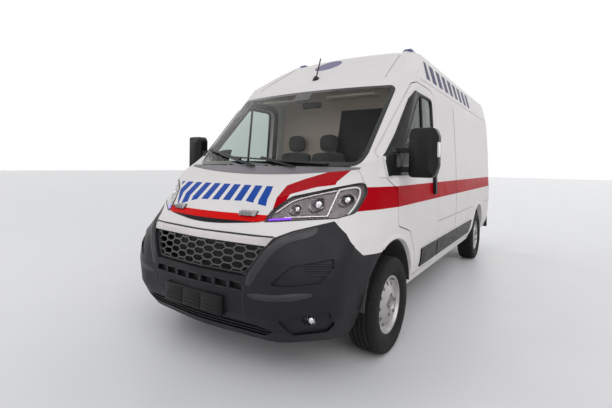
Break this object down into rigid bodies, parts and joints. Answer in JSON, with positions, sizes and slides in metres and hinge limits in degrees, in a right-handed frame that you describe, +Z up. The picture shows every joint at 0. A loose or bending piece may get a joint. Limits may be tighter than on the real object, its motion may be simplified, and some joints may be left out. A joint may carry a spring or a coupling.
{
  "type": "ambulance",
  "caption": "High-roof panel van ambulance with opening doors and bonnet, steered front wheels and a lit, striped body.",
  "frame": {"origin": "on the floor below the middle of the vehicle's length and width", "axes": "+Z up, front towards -Y, +X to the vehicle's left"},
  "size_m": [2.57, 5.4089, 2.5479],
  "materials": {
    "white_paint": "gloss white paint",
    "grey_bumper": "grained dark grey moulding",
    "black_plastic": "grained black moulding",
    "gloss_black": "gloss black",
    "bright_bar": "bright",
    "lamp_chrome": "bright reflector",
    "clear_lens": "clear moulded lens",
    "screen_glass": "laminated glass",
    "side_glass": "tinted glass",
    "red_lens": "red lens",
    "blue_lens": "dark blue lens",
    "dash_plastic": "soft grain",
    "beige_panel": "laminated panel",
    "seat_fabric": "woven seat cloth",
    "floor_paint": "primer and sealer",
    "cast_metal": "as cast",
    "radiator_metal": "finned",
    "chassis_iron": "black coating",
    "exhaust_steel": "heat dulled",
    "liner_plastic": "felted plastic",
    "tyre_rubber": "treaded rubber",
    "wheel_silver": "silver lacquer",
    "cabinet_white": "laminate"
  },
  "bodies": {
    "root": {"body_rub_strips": "black_plastic", "body_side_left": "white_paint", "body_side_right": "white_paint", "bulkhead": "beige_panel", "cowl_panel": "black_plastic", "dash_wall": "floor_paint", "dashboard": "dash_plastic", "engine_block": "cast_metal", "exhaust": "exhaust_steel", "floor_pan": "floor_paint", "front_bumper": "grey_bumper", "front_suspension": "chassis_iron", "front_wings": "white_paint", "fuel_tank": "liner_plastic", "grille_bar": "bright_bar", "grille_mesh": "gloss_black", "headlamp_housings": "lamp_chrome", "headlamp_lenses": "clear_lens", "nose_panel": "white_paint", "patient_cabinet": "cabinet_white", "radiator": "radiator_metal", "radio_antenna": "black_plastic", "rear_axle": "chassis_iron", "rear_bumper": "grey_bumper", "roof": "white_paint", "roof_beacons": "blue_lens", "seat_bases": "floor_paint", "seat_cushions": "seat_fabric", "sliding_door": "white_paint", "sliding_door_glass": "side_glass", "tail_lamps": "red_lens", "wheel_arch_liners": "liner_plastic", "windscreen": "screen_glass", "wipers": "black_plastic"},
    "bonnet": {"bonnet": "white_paint", "bonnet_flashers": "clear_lens"},
    "door_left": {"door_left": "white_paint", "door_left_glass": "side_glass", "door_left_mirror": "black_plastic", "door_left_trim": "black_plastic"},
    "door_right": {"door_right": "white_paint", "door_right_glass": "side_glass", "door_right_mirror": "black_plastic", "door_right_trim": "black_plastic"},
    "knuckle_left": {"knuckle_left": "chassis_iron"},
    "knuckle_right": {"knuckle_right": "chassis_iron"},
    "rear_door_left": {"rear_door_left": "white_paint", "rear_door_left_glass": "side_glass"},
    "rear_door_right": {"rear_door_right": "white_paint", "rear_door_right_glass": "side_glass"},
    "wheel_front_left": {"rim_front_left": "wheel_silver", "tyre_front_left": "tyre_rubber"},
    "wheel_front_right": {"rim_front_right": "wheel_silver", "tyre_front_right": "tyre_rubber"},
    "wheel_rear_left": {"rim_rear_left": "wheel_silver", "tyre_rear_left": "tyre_rubber"},
    "wheel_rear_right": {"rim_rear_right": "wheel_silver", "tyre_rear_right": "tyre_rubber"},
    "steering_wheel": {"steering_wheel": "dash_plastic"}
  },
  "joints": [
    {"name": "bonnet_lift", "type": "hinge", "parent": "root", "child": "bonnet", "pos_m": [0, -1.9945, 1.345], "axis": [-1, 0, 0], "range_deg": [0, 50]},
    {"name": "door_left_swing", "type": "hinge", "parent": "root", "child": "door_left", "pos_m": [1.04, -1.8365, 1.2], "axis": [0, 0, -1], "range_deg": [0, 70]},
    {"name": "door_right_swing", "type": "hinge", "parent": "root", "child": "door_right", "pos_m": [-1.04, -1.8365, 1.2], "axis": [0, 0, 1], "range_deg": [0, 70]},
    {"name": "rear_door_left_swing", "type": "hinge", "parent": "root", "child": "rear_door_left", "pos_m": [0.985, 2.6725, 1.4], "axis": [0, 0, -1], "range_deg": [0, 180]},
    {"name": "rear_door_right_swing", "type": "hinge", "parent": "root", "child": "rear_door_right", "pos_m": [-0.985, 2.6725, 1.4], "axis": [0, 0, 1], "range_deg": [0, 180]},
    {"name": "steer_left", "type": "hinge", "parent": "root", "child": "knuckle_left", "pos_m": [0.86, -1.7585, 0.338], "axis": [0, 0, 1], "range_deg": [-35, 35]},
    {"name": "steer_right", "type": "hinge", "parent": "root", "child": "knuckle_right", "pos_m": [-0.86, -1.7585, 0.338], "axis": [0, 0, 1], "range_deg": [-35, 35]},
    {"name": "steering_wheel_turn", "type": "hinge", "parent": "root", "child": "steering_wheel", "pos_m": [0.415, -1.2065, 1.15], "axis": [0, 0.766, 0.6428], "range_deg": [-525, 525]},
    {"name": "wheel_front_left_spin", "type": "hinge", "parent": "knuckle_left", "child": "wheel_front_left", "pos_m": [0.905, -1.7585, 0.338], "axis": [1, 0, 0], "continuous": true},
    {"name": "wheel_front_right_spin", "type": "hinge", "parent": "knuckle_right", "child": "wheel_front_right", "pos_m": [-0.905, -1.7585, 0.338], "axis": [1, 0, 0], "continuous": true},
    {"name": "wheel_rear_left_spin", "type": "hinge", "parent": "root", "child": "wheel_rear_left", "pos_m": [0.895, 1.6915, 0.338], "axis": [1, 0, 0], "continuous": true},
    {"name": "wheel_rear_right_spin", "type": "hinge", "parent": "root", "child": "wheel_rear_right", "pos_m": [-0.895, 1.6915, 0.338], "axis": [1, 0, 0], "continuous": true}
  ],
  "couplings": [
    {"joint": "steer_right", "follows": "steer_left", "ratio": 1},
    {"joint": "steering_wheel_turn", "follows": "steer_left", "ratio": 15}
  ]
}
